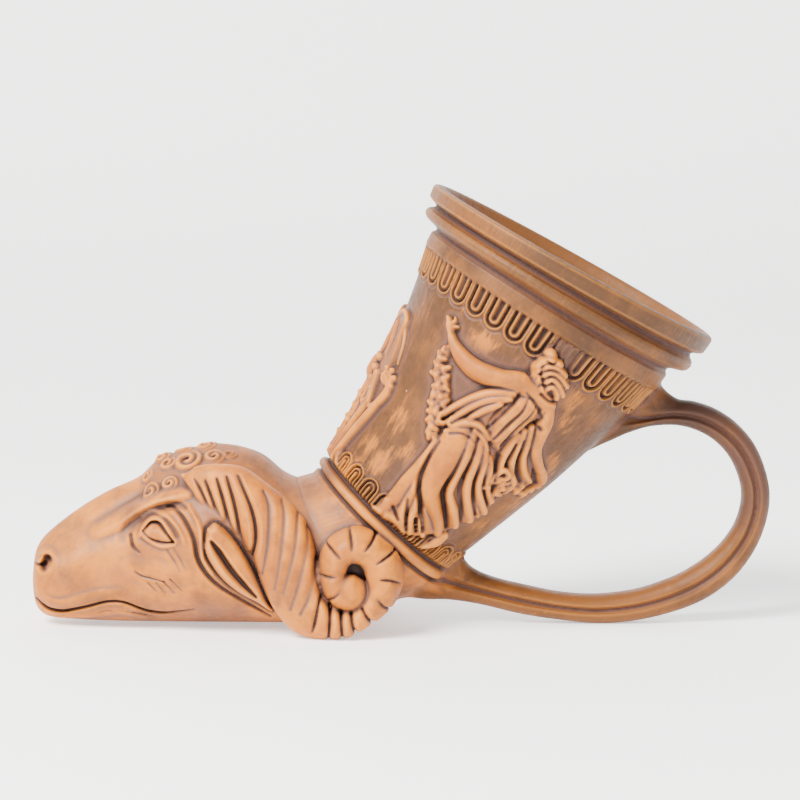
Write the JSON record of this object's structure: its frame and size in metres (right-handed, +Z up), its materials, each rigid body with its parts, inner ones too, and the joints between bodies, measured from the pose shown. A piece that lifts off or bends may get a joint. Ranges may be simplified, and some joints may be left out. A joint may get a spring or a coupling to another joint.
{
  "type": "rhyton",
  "caption": "Terracotta ram's-head drinking horn with a flared relief cup and a loop handle, lying on its horns and handle.",
  "frame": {"origin": "centre of the bounding box's underside, on the surface it lies on", "axes": "+X from the muzzle to the handle, +Y across the head, +Z up"},
  "size_m": [0.2384, 0.1014, 0.1424],
  "materials": {
    "terracotta": "fired terracotta, tan to brown, with a dark wash left in the hollows and a soft sheen on the high places"
  },
  "bodies": {
    "root": {"rhyton": "terracotta"}
  },
  "joints": []
}
